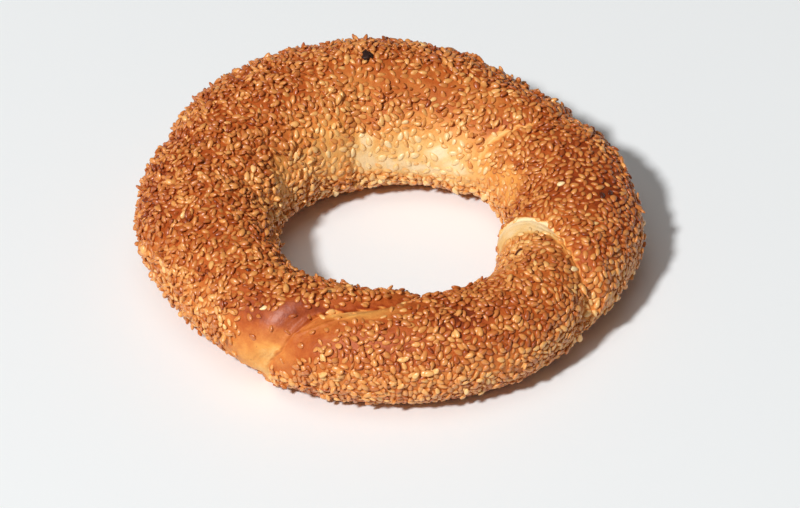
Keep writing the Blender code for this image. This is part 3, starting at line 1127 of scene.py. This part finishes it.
def seeds_piece(name, middles, along, facing, sizes, roast, paint):
    """Join one turned and scaled copy of the seed for every place."""
    amount = len(middles)
    along = unit(within_skin(along, facing))
    side = np.cross(facing, along)
    on_edge = random.random((amount, 1)) < ON_EDGE
    on_edge = on_edge * random.uniform(EDGE_LOW, EDGE_HIGH, (amount, 1))
    roll = random.normal(0.0, ROLL, (amount, 1)) + on_edge
    side, facing = (side * np.cos(roll) + facing * np.sin(roll),
                    facing * np.cos(roll) - side * np.sin(roll))
    vary = random.normal(1.0, SHAPE_SPREAD, (3, amount, 1))
    axes = np.stack([side * SEED_WIDTH * vary[0], facing * SEED_HEIGHT * vary[1],
                     along * SEED_LENGTH * vary[2]], axis=1) * sizes[:, :, None] / 2.0
    points = middles[:, None, :] + np.einsum("pk,nkc->npc", seed_points, axes)
    points[..., 2] = np.maximum(points[..., 2], ABOVE_TABLE)
    step = len(seed_points)
    faces = [tuple(corner + step * number for corner in face)
             for number in range(amount) for face in seed_faces]
    mesh = bpy.data.meshes.new(name)
    mesh.from_pydata(points.reshape(-1, 3).tolist(), [], faces)
    keep_attribute(mesh, "roast", np.repeat(roast, step))
    keep_attribute(mesh, "edge_shade", np.tile(seed_edge_shade, amount))
    keep_attribute(mesh, "tip", np.tile(seed_tip, amount))
    new_piece(name, mesh, paint)
    mesh.calc_loop_triangles()
    print(f"{name}: {amount} seeds, {len(mesh.loop_triangles)} triangles")


# %% [markdown]
# ## Seed paint
# Sesame roasts from cream to gold to brown. Each seed has its own roast. Its tip is a little
# darker, its edge is darkened all round as painted shade, and fine noise breaks up the rest. A
# thin clear coat gives the small bright glints.

# %% Seed paint
SEED_STOPS = [
    (0.00, colour(246, 218, 164)),
    (0.22, colour(241, 189, 116)),
    (0.40, colour(225, 153, 80)),
    (0.56, colour(205, 125, 60)),
    (0.72, colour(178, 88, 33)),
    (0.86, colour(142, 58, 16)),
    (1.00, colour(84, 30, 8)),
]


def seed_paint():
    paint = Paint("toasted_sesame")
    place = paint.node("ShaderNodeTexCoord", output="Object")
    roast = paint.attribute("roast")
    # painted shade: each seed darkens towards its edge
    edge_shade = paint.between(0.20, 0.75, paint.attribute("edge_shade"))
    tip = paint.between(0.55, 1.0, paint.attribute("tip"))
    mottle = paint.noise(place, 0.9 * MM) - 0.5
    tone = roast + 0.10 * edge_shade + 0.07 * tip + 0.22 * mottle
    height = paint.noise(place, 0.5 * MM, 2.0, 0.6)
    paint.set(Base_Color=paint.ramp(tone, SEED_STOPS), Normal=paint.bump(height, 0.06 * MM),
              Roughness=0.34 + 0.24 * mottle)
    paint.set(IOR=1.50, Coat_Weight=0.22, Coat_Roughness=0.30)
    return paint.material


# %% [markdown]
# ## How far each seed is roasted
# A seed roasts with the crust under it, but no two alike, so each gets its own share of chance.
# Here and there one stayed nearly white or burnt, which the eye finds at once, so those few are
# listed one by one. The seeds are then sorted by roast, so that no single piece grows too heavy.

# %% Roast
ROAST_LEAST = 0.05
ROAST_SHARE = 0.68       # how closely a seed's roast follows the crust's browning
ROAST_MOST = 0.78
ROAST_SPREAD = 0.095
ROAST_DRIFT = 0.08       # and how much neighbours roast alike
DRIFT_SIZE = 7.0 * MM
PALE_ROAST, BURNT_ROAST = 0.02, 1.00
PALE_SEEDS = [(-29.0, 58.0), (-126.0, 58.0), (6.0, 107.0), (111.0, 112.0)]
BURNT_SEEDS = [(-138.0, 79.0), (-31.0, 126.0), (0.0, 70.0), (2.0, 60.0)]


def crust_spot(ring_degrees, tube_spot):
    """The place on the crust at two angles in degrees."""
    return crust_place(np.radians([ring_degrees]), np.radians([tube_spot]))[0] + shift


# seeds follow the crust's browning, so they carry its painted light low in the hole too
roast = ROAST_LEAST + ROAST_SHARE * np.minimum(seed_bake_and_painted_light, ROAST_MOST)
roast += random.normal(0.0, ROAST_SPREAD, count)
roast += ROAST_DRIFT * noise_at(places, DRIFT_SIZE, seed=11.0)
roast = np.clip(roast, 0.0, 0.95)
for shade, odd_seeds in ((PALE_ROAST, PALE_SEEDS), (BURNT_ROAST, BURNT_SEEDS)):
    for ring_degrees, tube_spot in odd_seeds:
        spot = crust_spot(ring_degrees, tube_spot)
        roast[np.argmin(row_lengths(places - spot))] = shade
print("roast, palest, middling and darkest:", np.percentile(roast, [0, 50, 100]).round(2))

# %% Pieces of seeds
TOP_PALER = 0.03
sesame = seed_paint()
KINDS = [("seeds_pale", -1.0, 0.43), ("seeds_golden", 0.43, 0.52), ("seeds_amber", 0.52, 0.60),
         ("seeds_toasted", 0.60, 2.0)]
lying = [(name, (roast >= low) & (roast < high) & ~beneath) for name, low, high in KINDS]
for name, chosen in lying + [("seeds_pressed", beneath)]:
    seeds_piece(name, middles[chosen], along[chosen], facing[chosen], sizes[chosen],
                roast[chosen], sesame)
seeds_piece("seeds_on_top", top_middles, top_along, top_facing, sizes[perch],
            np.clip(roast[perch] - TOP_PALER, 0.0, 1.0), sesame)

# %% [markdown]
# ## The burnt speck
# One scrap of dough charred black on the back of the ring. It is a flat, broken flake, so it
# starts as a coarse ball that noise pulls into corners, squashed and sunk in among the seeds.

# %% Burnt speck
SPECK_RING, SPECK_TUBE = 98.5, 91.0
SPECK_SIZE = (5.0 * MM, 3.3 * MM, 2.0 * MM)
SPECK_ABOVE = 0.75 * MM
CHAR_STOPS = [(0.35, colour(22, 10, 7)), (0.75, colour(70, 30, 16))]


def char_paint():
    paint = Paint("char")
    place = paint.node("ShaderNodeTexCoord", output="Object")
    grain = paint.noise(place, 0.8 * MM, 3.0, 0.6)
    paint.set(Base_Color=paint.ramp(grain, CHAR_STOPS), Normal=paint.bump(grain, 0.3 * MM),
              Roughness=0.45 + 0.3 * grain)
    return paint.material


speck = bmesh.new()
bmesh.ops.create_icosphere(speck, subdivisions=3, radius=0.5)
for vertex in speck.verts:
    vertex.co *= 1.0 + 1.10 * noise.noise(vertex.co * 2.1 + Vector((5.0, 1.0, 3.0)))
    vertex.co *= 1.0 + 0.30 * noise.noise(vertex.co * 5.0)
bmesh.ops.scale(speck, vec=Vector(SPECK_SIZE), verts=speck.verts[:])
speck_foot, speck_up, _, _ = skin.find_nearest(Vector(crust_spot(SPECK_RING, SPECK_TUBE)))
turned = speck_up.to_track_quat("Z", "Y").to_matrix()
bmesh.ops.rotate(speck, cent=(0.0, 0.0, 0.0), matrix=turned, verts=speck.verts[:])
bmesh.ops.translate(speck, vec=speck_foot + speck_up * SPECK_ABOVE, verts=speck.verts[:])
speck_mesh = bpy.data.meshes.new("burnt_speck")
speck.to_mesh(speck_mesh)
speck.free()
new_piece("burnt_speck", speck_mesh, char_paint())
print("burnt speck:", len(speck_mesh.vertices), "vertices")
